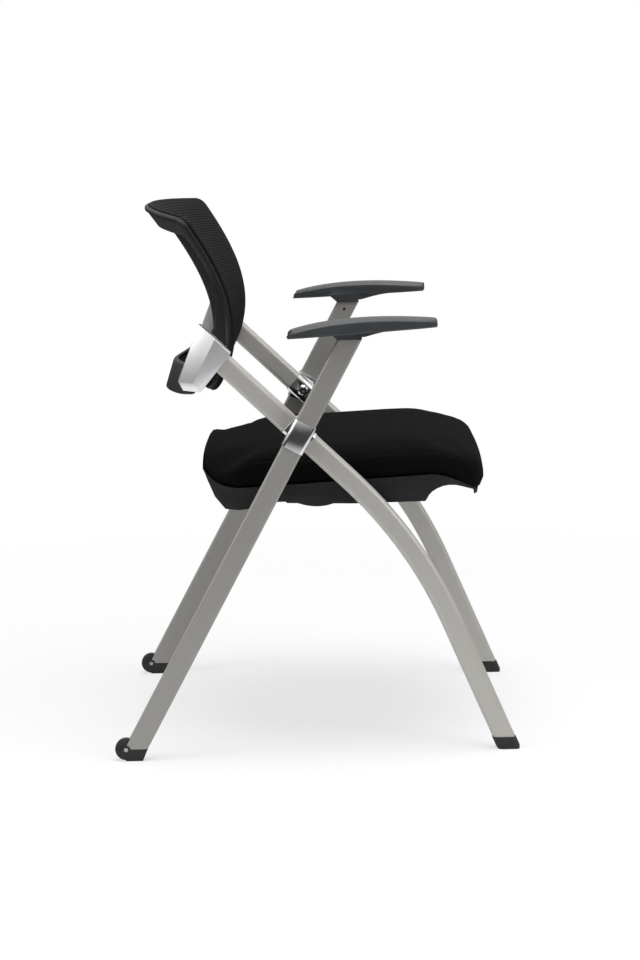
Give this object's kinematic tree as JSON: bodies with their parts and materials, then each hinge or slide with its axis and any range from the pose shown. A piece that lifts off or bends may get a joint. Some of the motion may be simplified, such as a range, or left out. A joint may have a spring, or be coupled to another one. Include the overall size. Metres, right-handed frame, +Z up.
{
  "type": "folding armchair",
  "caption": "Folding armchair with crossing tube frames, a flip-up padded seat, a curved mesh back, short armrests and rear rollers.",
  "frame": {"origin": "floor level, at the middle of the chair's footprint box", "axes": "+X toward the front of the chair, +Y to the sitter's left, +Z up"},
  "size_m": [0.6185, 0.6226, 0.8296],
  "materials": {
    "powder_coat": "silver-grey powder coat",
    "chrome": "polished",
    "steel": "zinc plated",
    "black_plastic": "satin, fine texture",
    "pad_plastic": "satin",
    "mesh": "fine knitted ribs",
    "seat_fabric": "close plain weave",
    "rubber": "matte",
    "nylon": "satin"
  },
  "bodies": {
    "front_frame": {"right_front_leg": "powder_coat", "left_front_leg": "powder_coat", "front_cross_bar": "powder_coat", "right_leg_sleeve": "chrome", "left_leg_sleeve": "chrome", "right_back_bracket": "chrome", "left_back_bracket": "chrome", "back_shell": "black_plastic", "back_mesh_frame": "black_plastic", "back_mesh": "mesh", "back_handle": "black_plastic", "pivot_bolts": "chrome", "pivot_nuts": "steel", "pivot_washers": "nylon", "right_front_cap": "rubber", "left_front_cap": "rubber"},
    "rear_frame": {"right_rear_leg": "powder_coat", "left_rear_leg": "powder_coat", "rear_cross_bar": "powder_coat", "right_leg_collar": "chrome", "left_leg_collar": "chrome", "pivot_bushes": "nylon", "right_armrest": "pad_plastic", "left_armrest": "pad_plastic", "armrest_screws": "steel", "right_rear_shoe": "rubber", "left_rear_shoe": "rubber", "roller_axles": "steel"},
    "right_roller": {"right_roller": "rubber"},
    "left_roller": {"left_roller": "rubber"},
    "seat": {"seat_pan": "black_plastic", "seat_cushion": "seat_fabric", "seat_cam_plate": "black_plastic", "cam_plate_screws": "steel", "right_hinge_strap": "steel", "left_hinge_strap": "steel", "strap_screws": "steel", "right_rest_pad": "rubber", "left_rest_pad": "rubber"}
  },
  "joints": [
    {"name": "fold", "type": "hinge", "parent": "front_frame", "child": "rear_frame", "pos_m": [-0.019, 0, 0.4945], "axis": [0, 1, 0], "range_deg": [-56, 0]},
    {"name": "seat_flip", "type": "hinge", "parent": "front_frame", "child": "seat", "pos_m": [0.06861, 0, 0.4096], "axis": [0, 1, 0], "range_deg": [0, 44.8]},
    {"name": "right_roller_spin", "type": "hinge", "parent": "rear_frame", "child": "right_roller", "pos_m": [-0.29245, -0.27, 0.0176], "axis": [0, 1, 0], "continuous": true},
    {"name": "left_roller_spin", "type": "hinge", "parent": "rear_frame", "child": "left_roller", "pos_m": [-0.29245, 0.27, 0.0176], "axis": [0, 1, 0], "continuous": true}
  ],
  "couplings": [
    {"joint": "seat_flip", "follows": "fold", "ratio": -0.8}
  ]
}
